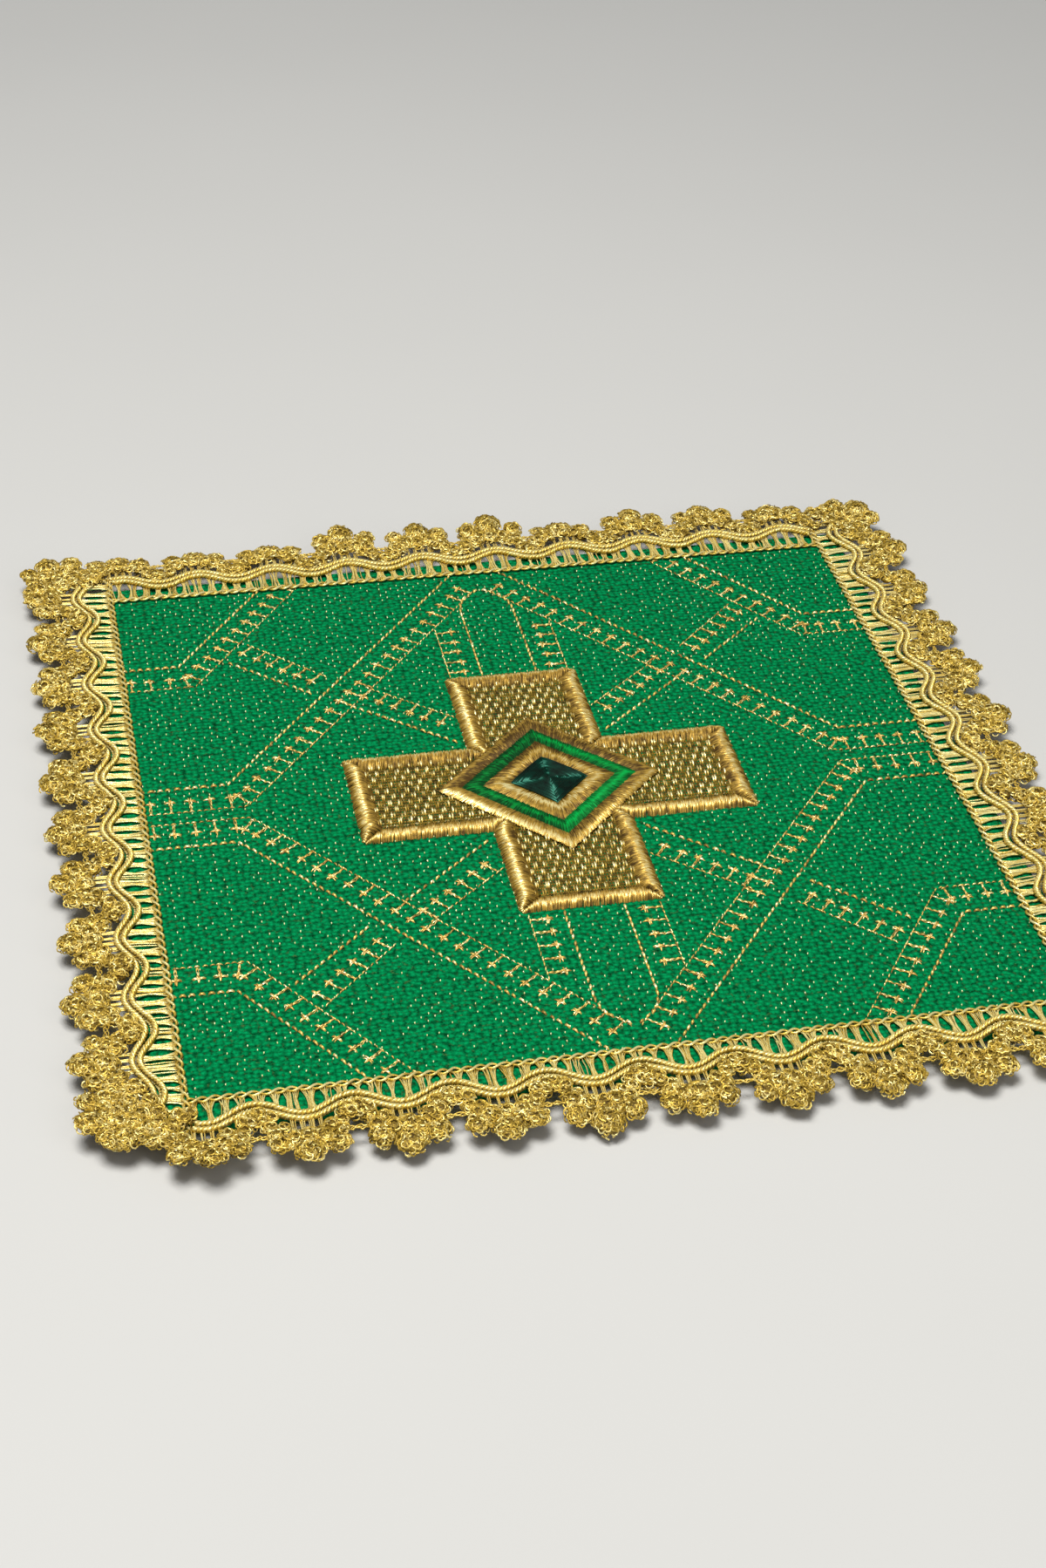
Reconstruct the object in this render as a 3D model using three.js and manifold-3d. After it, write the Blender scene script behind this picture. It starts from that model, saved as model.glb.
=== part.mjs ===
// Chalice pall: a stiff square of green cloth, edged with gold scalloped lace and embroidered
// with a cross that carries nested diamonds. Millimetres, +Z up, with the origin at the middle
// of the flat underside, +X to the right and +Y to the back.

import * as THREE from 'three';
import { mergeVertices } from 'three/addons/utils/BufferGeometryUtils.js';
import Module from 'manifold-3d';

// Cloth panel
const panelSide = 150;
const panelThickness = 2.4;
const panelCornerRadius = 2.5;
const panelEdgeRounding = 0.7;
const panelCurveSegments = 2;

// Room left between pieces that are sewn to each other
const sewingGap = 0.3;

// Lace: widths are measured outwards from its inner edge, heights up from its underside
const laceInnerEdge = 70;
const laceUnderside = panelThickness + sewingGap;
const webWidth = 9.8;
const webThickness = 1;
const edgeLoopWidth = 1.1;
const edgeLoopHeight = 1.35;
const edgeLoopSlope = 0.28;
const buttedLaceEnd = laceInnerEdge - sewingGap;
const lappedLaceEnd = 78.6;

// Double cord that waves along the lace, outwards at each scallop and inwards between
const cordLine = 5.1;
const cordSwing = 1.4;
const cordHalfWidth = 1.35;
const cordHeight = 1.75;
const cordFurrow = 1.3;
const cordShoulder = 1.5;
const cordShoulderHalfWidth = 1.15;
const cordRoot = 0.6;
const cordEndInset = 0.6;
const cordStepsPerWave = 7;

// Scallop: a trefoil of looped cord, drawn from the middle of its root
const scallopPitch = 14.6;
const scallopRootLine = 9;
const scallopFootHalfWidth = 5.6;
const sideLobe = { x: 4.4, y: 3.9, radius: 2.1, from: -0.7, to: 2.62 };
const middleLobe = { y: 5.55, radius: 2.65, from: -0.23 };
const scallopReach = middleLobe.y + middleLobe.radius;
const scallopThickness = 1.7;
const scallopRounding = 0.6;
const scallopCurveSegments = 2;
const liftCurve = 1.4;

// One row for each length of lace. turn: degrees from the back edge, counter-clockwise.
// end: half its length. shift: how far its row of scallops stands off the middle.
// lifts: how high each scallop's tip is bent up, from the row's start to its end.
// corners: the gathered scallops at its ends, placed along and out from the pall's middle,
// and turned by point degrees from straight out.
const laceLengths = [
  {
    name: 'lace_back', turn: 0, end: buttedLaceEnd, shift: -1.9,
    lifts: [-2, -2.1, -2, 2.1, 1.1, 1.7, -1.6, 0.6, 0, -1.3],
    corners: [],
  },
  {
    name: 'lace_left', turn: 90, end: lappedLaceEnd, shift: 4.9,
    lifts: [0.4, -0.3, 0, 0.5, -0.4, 0.2, 0.5, -0.2, 0.3, 0.8],
    corners: [
      { along: -72, out: 79.2, point: -20, lift: 1.2 },
      { along: -73, out: 77, point: -60, lift: 0.6 },
      { along: 77.6, out: 79.4, point: 70, lift: 0.6 },
    ],
  },
  {
    name: 'lace_front', turn: 180, end: buttedLaceEnd, shift: 2,
    lifts: [0, -0.5, -0.8, -0.8, -0.4, -1.7, 0, -0.8, 0.4, 2.1],
    corners: [],
  },
  {
    name: 'lace_right', turn: 270, end: lappedLaceEnd, shift: 0.7,
    lifts: [0.3, 0, -0.4, 0.4, 0.2, -0.3, 0.5, 0, -0.2, 0.4],
    corners: [
      { along: -77.3, out: 77.3, point: -45, lift: 0.4 },
      { along: 77.3, out: 77.3, point: 45, lift: -0.4 },
    ],
  },
];

// Embroidered cross, with a raised satin border round a flat stitched ground
const crossSpan = 68.8;
const crossArmWidth = 24.2;
const borderWidth = 3.6;
const borderHeight = 1.3;
const borderSlope = 1.3;
const borderRounding = 0.45;
const borderCutHeight = 20;
const groundThickness = 0.5;

// Nested diamonds on the cross: half-diagonals of the bands, from outside in
const diamondBands = [
  { name: 'diamond_gold_outer', outer: 19.5, inner: 15.6, height: 0.65, finish: 'goldThread' },
  { name: 'diamond_green', outer: 15.2, inner: 12, height: 0.5, finish: 'greenThread' },
  { name: 'diamond_gold_inner', outer: 11.6, inner: 6.9, height: 0.7, finish: 'goldThread' },
];
const diamondCentre = { halfDiagonal: 6.5, edgeHeight: 0.3, peakHeight: 0.6 };
const bandEdgeHeight = 0.35;
const bandEdgeInset = 0.35;
const diamondSides = 4;

const finishes = {
  greenCloth: { color: 0x0a8a4c, roughness: 0.85, metalness: 0 },
  goldLace: { color: 0xc8a546, roughness: 0.5, metalness: 0.5 },
  goldThread: { color: 0xc8963c, roughness: 0.45, metalness: 0.4 },
  stitchedGround: { color: 0x8a7a34, roughness: 0.6, metalness: 0.3 },
  greenThread: { color: 0x0a9440, roughness: 0.5, metalness: 0 },
  darkThread: { color: 0x0a3c32, roughness: 0.45, metalness: 0 },
};

const wasm = await Module();
wasm.setup();

const weldDistance = 1e-4;

function toSolid(geometry) {
  const bare = geometry.clone();
  bare.deleteAttribute('normal');
  bare.deleteAttribute('uv');
  const welded = mergeVertices(bare, weldDistance);
  return new wasm.Manifold(new wasm.Mesh({
    numProp: 3,
    vertProperties: new Float32Array(welded.attributes.position.array),
    triVerts: new Uint32Array(welded.index.array),
  }));
}

function toGeometry(solid) {
  const { vertProperties, triVerts } = solid.getMesh();
  const geometry = new THREE.BufferGeometry();
  geometry.setAttribute('position', new THREE.BufferAttribute(vertProperties, 3));
  geometry.setIndex(new THREE.BufferAttribute(triVerts, 1));
  geometry.computeVertexNormals();
  return geometry;
}

function addPiece(group, name, geometry, finish) {
  const mesh = new THREE.Mesh(geometry, new THREE.MeshStandardMaterial(finishes[finish]));
  mesh.name = name;
  group.add(mesh);
  return mesh;
}

// A flat plate between two heights, its rims rounded off by one slope inside the given outline
function roundedPlate(shape, { bottom, top, rounding, slope = rounding, curveSegments }) {
  const plate = new THREE.ExtrudeGeometry(shape, {
    depth: top - bottom - 2 * rounding,
    curveSegments,
    bevelEnabled: true,
    bevelThickness: rounding,
    bevelSize: slope,
    bevelOffset: -slope,
    bevelSegments: 1,
  });
  return plate.translate(0, 0, bottom + rounding);
}

function panelGeometry() {
  const half = panelSide / 2;
  const straight = half - panelCornerRadius;
  const outline = new THREE.Shape();
  for (let corner = 0; corner < 4; corner += 1) {
    const start = corner * Math.PI / 2;
    const x = corner === 0 || corner === 3 ? straight : -straight;
    const y = corner < 2 ? straight : -straight;
    outline.absarc(x, y, panelCornerRadius, start, start + Math.PI / 2);
  }
  outline.closePath();
  return roundedPlate(outline, {
    bottom: 0, top: panelThickness, rounding: panelEdgeRounding, curveSegments: panelCurveSegments,
  });
}

// The web and its raised inner edge have one section, which runs straight along the lace
function webGeometry(end) {
  const section = new THREE.Shape([
    new THREE.Vector2(0, 0),
    new THREE.Vector2(webWidth, 0),
    new THREE.Vector2(webWidth, webThickness),
    new THREE.Vector2(edgeLoopWidth, webThickness),
    new THREE.Vector2(edgeLoopWidth - edgeLoopSlope, edgeLoopHeight),
    new THREE.Vector2(edgeLoopSlope, edgeLoopHeight),
    new THREE.Vector2(0, webThickness),
  ]);
  const web = new THREE.ExtrudeGeometry(section, { depth: 2 * end, bevelEnabled: false });
  const along = new THREE.Vector3(1, 0, 0);
  const out = new THREE.Vector3(0, 1, 0);
  const up = new THREE.Vector3(0, 0, 1);
  web.applyMatrix4(new THREE.Matrix4().makeBasis(out, up, along));
  return web.translate(-end, laceInnerEdge, laceUnderside);
}

class CordPath extends THREE.Curve {
  constructor(end, shift) {
    super();
    this.end = end;
    this.shift = shift;
  }

  getPoint(t, target = new THREE.Vector3()) {
    const x = (2 * t - 1) * this.end;
    const wave = -Math.cos(2 * Math.PI * (x - this.shift) / scallopPitch);
    return target.set(x, laceInnerEdge + cordLine + cordSwing * wave, laceUnderside);
  }
}

// Along a level path a section's +x points down and its +y to the left, here outwards
function cordGeometry(end, shift) {
  const ridge = cordHalfWidth / 2;
  const profile = [
    [cordRoot, -cordHalfWidth], [cordShoulder, -cordShoulderHalfWidth], [cordHeight, -ridge],
    [cordFurrow, 0],
    [cordHeight, ridge], [cordShoulder, cordShoulderHalfWidth], [cordRoot, cordHalfWidth],
  ];
  const section = new THREE.Shape(profile.map(([height, out]) => new THREE.Vector2(-height, out)));
  return new THREE.ExtrudeGeometry(section, {
    extrudePath: new CordPath(end - cordEndInset, shift),
    steps: Math.round(2 * end / scallopPitch * cordStepsPerWave),
  });
}

function scallopShape() {
  const outline = new THREE.Shape();
  const { x, y, radius, from, to } = sideLobe;
  outline.moveTo(-scallopFootHalfWidth, 0);
  outline.lineTo(scallopFootHalfWidth, 0);
  outline.absarc(x, y, radius, from, to);
  outline.absarc(0, middleLobe.y, middleLobe.radius, middleLobe.from, Math.PI - middleLobe.from);
  outline.absarc(-x, y, radius, Math.PI - to, Math.PI - from);
  outline.closePath();
  return outline;
}

// A scallop's tip is bent up or down, more and more from its root outwards
function scallopGeometry({ along, out, point, lift }) {
  const scallop = roundedPlate(scallopShape(), {
    bottom: 0, top: scallopThickness, rounding: scallopRounding, curveSegments: scallopCurveSegments,
  });
  const place = scallop.attributes.position;
  for (let i = 0; i < place.count; i += 1) {
    const share = Math.max(place.getY(i), 0) / scallopReach;
    place.setZ(i, place.getZ(i) + lift * share ** liftCurve);
  }
  scallop.rotateZ(THREE.MathUtils.degToRad(-point));
  return scallop.translate(along, out, laceUnderside);
}

function laceGeometry({ end, shift, lifts, corners }) {
  const middle = (lifts.length - 1) / 2;
  const scallops = lifts.map((lift, i) => ({
    along: shift + (i - middle) * scallopPitch,
    out: laceInnerEdge + scallopRootLine,
    point: 0,
    lift,
  }));
  let lace = toSolid(webGeometry(end)).add(toSolid(cordGeometry(end, shift)));
  for (const scallop of [...scallops, ...corners]) {
    lace = lace.add(toSolid(scallopGeometry(scallop)));
  }
  return toGeometry(lace);
}

function crossCorners(inset) {
  const tip = crossSpan / 2 - inset;
  const side = crossArmWidth / 2 - inset;
  return [
    [tip, -side], [tip, side], [side, side], [side, tip], [-side, tip], [-side, side],
    [-tip, side], [-tip, -side], [-side, -side], [-side, -tip], [side, -tip], [side, -side],
  ].map(([x, y]) => new THREE.Vector2(x, y));
}

function groundGeometry() {
  const outline = new THREE.Shape(crossCorners(borderWidth + sewingGap));
  const ground = new THREE.ExtrudeGeometry(outline, { depth: groundThickness, bevelEnabled: false });
  return ground.translate(0, 0, laceUnderside);
}

// The outermost diamond lies over the border's inner corners, so the border is cut back there
function borderGeometry() {
  const outline = new THREE.Shape(crossCorners(0));
  outline.holes.push(new THREE.Path(crossCorners(borderWidth)));
  const border = roundedPlate(outline, {
    bottom: laceUnderside, top: laceUnderside + borderHeight, rounding: borderRounding, slope: borderSlope,
  });
  const cutRadius = diamondBands[0].outer + sewingGap * Math.SQRT2;
  const cutter = new THREE.CylinderGeometry(cutRadius, cutRadius, borderCutHeight, diamondSides);
  cutter.rotateX(Math.PI / 2);
  return toGeometry(toSolid(border).subtract(toSolid(cutter)));
}

// A section turned about the pall's middle in four flat sides, its corners on the X and Y axes
function diamondGeometry(section) {
  const points = section.map(([radius, height]) => new THREE.Vector2(radius, height));
  const diamond = new THREE.LatheGeometry(points, diamondSides);
  diamond.rotateX(Math.PI / 2);
  return diamond.translate(0, 0, laceUnderside + groundThickness + sewingGap);
}

function bandGeometry({ outer, inner, height }) {
  return diamondGeometry([
    [inner, 0],
    [outer, 0],
    [outer - bandEdgeInset, bandEdgeHeight],
    [(outer + inner) / 2, height],
    [inner + bandEdgeInset, bandEdgeHeight],
    [inner, 0],
  ]);
}

function centreGeometry() {
  const { halfDiagonal, edgeHeight, peakHeight } = diamondCentre;
  return diamondGeometry([[0, 0], [halfDiagonal, 0], [halfDiagonal, edgeHeight], [0, peakHeight]]);
}

const pall = new THREE.Group();
addPiece(pall, 'pall_cloth', panelGeometry(), 'greenCloth');
for (const length of laceLengths) {
  const lace = addPiece(pall, length.name, laceGeometry(length), 'goldLace');
  lace.rotation.z = THREE.MathUtils.degToRad(length.turn);
}
addPiece(pall, 'cross_ground', groundGeometry(), 'stitchedGround');
addPiece(pall, 'cross_border', borderGeometry(), 'goldThread');
for (const band of diamondBands) {
  addPiece(pall, band.name, bandGeometry(band), band.finish);
}
addPiece(pall, 'diamond_centre', centreGeometry(), 'darkThread');

export default pall;
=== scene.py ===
import math
import bpy
import numpy as np
from mathutils import Matrix, Vector


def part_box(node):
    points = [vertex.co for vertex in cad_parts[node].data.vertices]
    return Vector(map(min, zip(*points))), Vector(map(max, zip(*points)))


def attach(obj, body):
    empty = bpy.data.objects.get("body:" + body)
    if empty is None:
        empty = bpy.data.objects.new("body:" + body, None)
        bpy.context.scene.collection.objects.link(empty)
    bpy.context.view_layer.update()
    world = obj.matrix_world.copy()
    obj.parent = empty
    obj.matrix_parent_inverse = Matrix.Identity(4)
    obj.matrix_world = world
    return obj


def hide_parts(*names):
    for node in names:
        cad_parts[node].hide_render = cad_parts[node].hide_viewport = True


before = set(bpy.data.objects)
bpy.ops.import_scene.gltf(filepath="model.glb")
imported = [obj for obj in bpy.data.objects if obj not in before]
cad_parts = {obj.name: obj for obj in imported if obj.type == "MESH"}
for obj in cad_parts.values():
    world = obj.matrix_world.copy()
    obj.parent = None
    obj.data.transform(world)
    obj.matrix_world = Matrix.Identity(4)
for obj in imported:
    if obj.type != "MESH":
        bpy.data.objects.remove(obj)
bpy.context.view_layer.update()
mm = 0.001
chance = np.random.default_rng(11)
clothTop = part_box("pall_cloth")[1][2] / mm  # the embroidered face, in mm like the sizes of every piece
print("frame loaded, cloth face at", round(clothTop, 2), "mm")


# Shader maths: a wrapped socket, so that materials read as expressions
class Wire:
    def __init__(self, tree, out=None):
        self.tree = tree
        self.out = out

    def make(self, kind, settings=None, values=None, output=0):
        node = self.tree.nodes.new(kind)
        for key, value in (settings or {}).items():
            if key == "stops":
                ramp = node.color_ramp.elements
                while len(ramp) < len(value):
                    ramp.new(1.0)
                for stop, (place, colour) in zip(ramp, value):
                    stop.position = place
                    stop.color = (*colour, 1.0)
            else:
                setattr(node, key, value)
        for key, value in (values or {}).items():
            if isinstance(value, Wire):
                self.tree.links.new(value.out, node.inputs[key])
            else:
                node.inputs[key].default_value = value
        return Wire(self.tree, node.outputs[output])

    def math(self, operation, *terms):
        return self.make("ShaderNodeMath", {"operation": operation}, dict(enumerate(terms)))

    def __add__(self, other):
        return self.math("ADD", self, other)

    def __sub__(self, other):
        return self.math("SUBTRACT", self, other)

    def __rsub__(self, other):
        return self.math("SUBTRACT", other, self)

    def __mul__(self, other):
        return self.math("MULTIPLY", self, other)

    __radd__ = __add__
    __rmul__ = __mul__

    def sine(self):
        return self.math("SINE", self)

    def clamped(self):
        return self.make("ShaderNodeClamp", None, {"Value": self})

    def attribute(self, name):
        return self.make("ShaderNodeAttribute", {"attribute_name": name}, None, "Fac")

    def place(self):
        return self.make("ShaderNodeTexCoord", None, None, "Object")

    def parts(self):
        node = self.make("ShaderNodeSeparateXYZ", None, {0: self}).out.node
        return [Wire(self.tree, out) for out in node.outputs]

    def noise(self, scale, detail=2.0):
        links = {"Vector": self, "Scale": scale, "Detail": detail}
        return self.make("ShaderNodeTexNoise", None, links)

    def blend(self, low, high):  # colours, mixed by this value
        settings = {"data_type": "RGBA"}
        return self.make("ShaderNodeMix", settings, {"Factor": self, 6: low, 7: high}, 2)

    def bump(self, strength, distance):
        links = {"Height": self, "Strength": strength, "Distance": distance}
        return self.make("ShaderNodeBump", None, links)


def newFinish(name, fixed):
    finish = bpy.data.materials.new(name)
    finish.use_nodes = True
    tree = finish.node_tree
    shader = tree.nodes["Principled BSDF"]
    for key, value in fixed.items():
        shader.inputs[key].default_value = value
    return finish, Wire(tree), shader


def feed(shader, **wires):
    for key, wire in wires.items():
        socket = shader.inputs[key.replace("_", " ")]
        wire.tree.links.new(wire.out, socket)


# Thread meshes: many tubes joined from arrays, all sizes in mm
def unit(vectors):
    return vectors / np.maximum(np.linalg.norm(vectors, axis=-1, keepdims=True), 1e-9)


def tubes(points, radius, sides=3, up=(0, 0, 1), flatness=1.0, tone=0.5, bare=False):
    points = np.asarray(points, float)
    count, steps, _ = points.shape
    tangent = unit(np.gradient(points, axis=1))
    side = unit(np.cross(tangent, np.broadcast_to(up, points.shape)))
    normal = np.cross(side, tangent)
    turn = np.pi / 2 + 2 * np.pi * np.arange(sides) / sides
    radius = np.broadcast_to(radius, (count, steps))[:, :, None, None]
    across = np.cos(turn)[:, None] * side[:, :, None, :]
    upward = flatness * np.sin(turn)[:, None] * normal[:, :, None, :]
    ring = points[:, :, None, :] + radius * (across + upward)
    index = np.arange(count * steps * sides).reshape(count, steps, sides)
    beside = np.roll(index, -1, axis=2)
    walls = np.stack([index[:, :-1], beside[:, :-1], beside[:, 1:], index[:, 1:]], axis=-1)
    if bare:  # a thread that lies on something has no underside and no ends
        faces = [walls[:, :, [0, sides - 1]].reshape(-1, 4)]
    else:
        faces = [walls.reshape(-1, 4), np.concatenate([index[:, 0, ::-1], index[:, -1]])]
    if np.ndim(tone) == 1:  # one value for each thread
        tone = np.reshape(tone, (-1, 1, 1))
    tone = np.broadcast_to(tone, (count, steps, sides))
    return {"verts": ring.reshape(-1, 3), "faces": faces, "tone": tone.ravel()}


def joinedMesh(name, batches):
    verts = np.concatenate([b["verts"] for b in batches]) * mm
    mesh = bpy.data.meshes.new(name)
    mesh.vertices.add(len(verts))
    mesh.vertices.foreach_set("co", verts.ravel())
    corners, totals, start = [], [], 0
    for b in batches:
        for group in b["faces"]:
            corners.append((group + start).ravel())
            totals.append(np.full(len(group), group.shape[1]))
        start += len(b["verts"])
    corners, totals = np.concatenate(corners), np.concatenate(totals)
    mesh.loops.add(len(corners))
    mesh.loops.foreach_set("vertex_index", corners)
    mesh.polygons.add(len(totals))
    mesh.polygons.foreach_set("loop_start", np.concatenate([[0], np.cumsum(totals)[:-1]]))
    mesh.polygons.foreach_set("use_smooth", np.full(len(totals), True))
    layer = mesh.attributes.new("tone", "FLOAT", "POINT")
    layer.data.foreach_set("value", np.concatenate([b["tone"] for b in batches]))
    mesh.update(calc_edges=True)
    mesh.validate()
    return mesh


def addPiece(name, mesh, finish, slotName, *nodes):
    piece = bpy.data.objects.new(name, mesh)
    bpy.context.scene.collection.objects.link(piece)
    mesh.materials.append(finish)
    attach(piece, "root")
    if nodes:
        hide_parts(*nodes)
    triangles = sum(len(p.vertices) - 2 for p in mesh.polygons)
    print("piece", name, "triangles", triangles)
    return piece


def evenly(path, step):  # the same path with its points set evenly
    length = np.concatenate([[0], np.cumsum(np.linalg.norm(np.diff(path, axis=0), axis=1))])
    places = np.linspace(0, length[-1], max(2, int(round(length[-1] / step)) + 1))
    return np.stack([np.interp(places, length, path[:, i]) for i in range(path.shape[1])], axis=1)


def slowNoise(count, every):  # a wandering value between about -1 and 1
    knots = chance.uniform(-1, 1, int(count / every) + 3)
    return np.interp(np.arange(count) / every, np.arange(len(knots)), knots)


def stray(reach, shape=None):  # an even scatter to both sides of zero
    return chance.uniform(-reach, reach, shape)


# Finishes: a thread's colour runs from dark to light with its tone
threadLooks = {
    "laceGold": {
        "dark": (0.065, 0.036, 0.002), "mid": (0.63, 0.43, 0.055), "light": (1.0, 0.90, 0.42),
        "metallic": 0.5, "roughness": 0.38, "gloss": 0.5, "mottle": 0.4, "grain": 2600.0,
    },
    "satinGold": {
        "dark": (0.08, 0.042, 0.006), "mid": (0.57, 0.36, 0.06), "light": (1.0, 0.87, 0.42),
        "metallic": 0.5, "roughness": 0.36, "gloss": 0.4, "mottle": 0.35, "grain": 900.0,
    },
    "fillGold": {
        "dark": (0.05, 0.03, 0.001), "mid": (0.35, 0.225, 0.02), "light": (1.0, 0.90, 0.46),
        "metallic": 0.45, "roughness": 0.34, "gloss": 0.4, "mottle": 0.35, "grain": 900.0,
    },
    "wovenGold": {
        "dark": (0.17, 0.09, 0.012), "mid": (0.72, 0.47, 0.10), "light": (1.0, 0.88, 0.46),
        "metallic": 0.4, "roughness": 0.34, "gloss": 0.5, "mottle": 0.4, "grain": 900.0,
    },
    # pale colours that paint the glint of the metal strands, so that they look lit under any light
    "glintGold": {
        "dark": (0.40, 0.36, 0.12), "mid": (0.80, 0.78, 0.36), "light": (1.0, 0.98, 0.66),
        "metallic": 0.2, "roughness": 0.30, "gloss": 0.5, "mottle": 0.5, "grain": 900.0,
    },
    "satinGreen": {
        "dark": (0.0, 0.035, 0.006), "mid": (0.0, 0.24, 0.036), "light": (0.0, 0.44, 0.08),
        "metallic": 0.0, "roughness": 0.55, "gloss": 0.12, "mottle": 0.3, "grain": 900.0,
    },
    # the light end of this ramp is the teal of the painted highlight at the centre's seams
    "satinDark": {
        "dark": (0.0, 0.007, 0.003), "mid": (0.0, 0.045, 0.026), "light": (0.10, 0.42, 0.30),
        "metallic": 0.0, "roughness": 0.5, "gloss": 0.2, "mottle": 0.3, "grain": 900.0,
    },
}
threadGrain = {"detail": 3.0, "toneShare": 0.85, "polish": 0.35, "depth": 0.00018}


def threadFinish(name):
    look = threadLooks[name]
    fixed = {"Metallic": look["metallic"], "Specular IOR Level": look["gloss"]}
    finish, wire, shader = newFinish(name, fixed)
    grain = wire.place().noise(look["grain"], threadGrain["detail"])
    speckle = (grain - 0.5) * (look["mottle"] * 2)
    shade = (wire.attribute("tone") * threadGrain["toneShare"] + speckle).clamped()
    stops = [(0.0, look["dark"]), (0.5, look["mid"]), (1.0, look["light"])]
    colour = wire.make("ShaderNodeValToRGB", {"stops": stops}, {"Fac": shade})
    roughness = look["roughness"] + (0.6 - shade) * threadGrain["polish"]  # bright threads are smoother
    bump = grain.bump(look["mottle"], threadGrain["depth"])
    feed(shader, Base_Color=colour, Roughness=roughness, Normal=bump)
    return finish


clothLook = {
    "across": 1.12, "down": 1.0,  # mm between neighbouring yarns
    "uneven": 0.55, "fibreScale": 2800.0, "strandScale": 1300.0, "strandShare": 0.3,
    "gloss": 0.03, "bump": 0.8, "depth": 0.0004,
    # colours: painted shade between the yarns, the yarn from the painted shade of its low parts to the
    # painted highlight of its knots, and the metal strands
    "paintedGapShade": (0.0, 0.028, 0.008, 1),
    "low": (0.0, 0.095, 0.027, 1),
    "knot": (0.0, 0.295, 0.09, 1),
    "strand": (0.2, 0.16, 0.04, 1),
}


def clothFinish():
    finish, wire, shader = newFinish("greenBrocade", {"Specular IOR Level": clothLook["gloss"]})
    place = wire.place()
    x, y, _ = place.parts()
    u, v = x * (1000 / clothLook["across"]), y * (1000 / clothLook["down"])
    settings = {"voronoi_dimensions": "2D", "feature": "F1"}
    yarns = wire.make("ShaderNodeCombineXYZ", None, {0: u, 1: v})
    links = {"Vector": yarns, "Scale": 1.0, "Randomness": clothLook["uneven"]}
    away = wire.make("ShaderNodeTexVoronoi", settings, links)  # how far a spot is from its knot
    parity = (u * math.pi).sine() * (v * math.pi).sine()  # every other yarn crossing comes up as a knot
    fibre = place.noise(clothLook["fibreScale"])
    knot = (1.2 - away * 1.9).clamped()
    # painted shade: darker between the knots, where the yarns dip, and fibre adds random dark specks
    dark = ((away - 0.46) * 2.6 + (0.4 - fibre) * 3.0).clamped()
    # painted highlight and shade: the yarn is lighter on its raised knots and darker in the hollows, with
    # random fibre
    green = (knot * 0.85 + parity * 0.22 + (fibre - 0.5) * 1.5).clamped()
    patches = (place.noise(clothLook["strandScale"]) * 5.0 - 2.7).clamped()
    strand = ((away - 0.4) * 5.0).clamped() * patches  # fine metal strands between the knots
    yarn = green.blend(clothLook["low"], clothLook["knot"])
    lit = (strand * clothLook["strandShare"]).blend(yarn, clothLook["strand"])
    colour = dark.blend(lit, clothLook["paintedGapShade"])
    feed(shader, Base_Color=colour, Roughness=0.95 - 0.2 * knot)
    feed(shader, Normal=(knot + parity * 0.3 + fibre * 0.5).bump(clothLook["bump"], clothLook["depth"]))
    return finish


finishes = {name: threadFinish(name) for name in threadLooks}
brocade = clothFinish()
print("finishes ready")


# Cloth panel: a stiff square with soft folded edges
panel = {"side": 150.0, "cornerRadius": 2.5, "cells": 44, "waver": 0.05}


def clothPanel():
    half = panel["side"] / 2
    fold = clothTop / 2
    rim = fold * np.array([0.0, 0.08, 0.3, 0.62, 1.0])
    inner = np.linspace(-half + fold, half - fold, panel["cells"] + 1)[1:-1]
    line = np.concatenate([-half + rim, inner, (half - rim)[::-1]])
    x, y = np.meshgrid(line, line, indexing="ij")
    depth = np.minimum(half - abs(x), half - abs(y))
    drop = fold - np.sqrt(np.maximum(fold**2 - np.maximum(fold - depth, 0) ** 2, 0))
    corner = panel["cornerRadius"]
    qx = np.clip((abs(x) - half + corner) / corner, 0, 1)
    qy = np.clip((abs(y) - half + corner) / corner, 0, 1)
    px = np.sign(x) * (abs(x) - corner * qx * (1 - np.sqrt(1 - qy**2 / 2)))
    py = np.sign(y) * (abs(y) - corner * qy * (1 - np.sqrt(1 - qx**2 / 2)))
    waver = panel["waver"] * (np.sin(x / 17) * np.cos(y / 23) - 1) * np.clip(depth / 6, 0, 1)
    top = np.stack([px, py, clothTop - drop + waver], axis=-1)
    under = np.stack([px, py, drop], axis=-1)
    size = len(line)
    index = np.arange(size * size).reshape(size, size)
    faces = np.stack([index[:-1, :-1], index[1:, :-1], index[1:, 1:], index[:-1, 1:]], axis=-1).reshape(-1, 4)
    edge = (depth == 0).ravel()
    lower = np.where(edge, index.ravel(), size * size + index.ravel())
    verts = np.concatenate([top.reshape(-1, 3), under.reshape(-1, 3)])
    used = np.zeros(len(verts), bool)
    both = np.concatenate([faces, lower[faces][:, ::-1]])
    used[both] = True
    renumber = np.cumsum(used) - 1
    batch = {"verts": verts[used], "faces": [renumber[both]], "tone": np.zeros(used.sum())}
    return joinedMesh("pallCloth", [batch])


cloth = addPiece("pallCloth", clothPanel(), brocade, "green_cloth", "pall_cloth")


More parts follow.
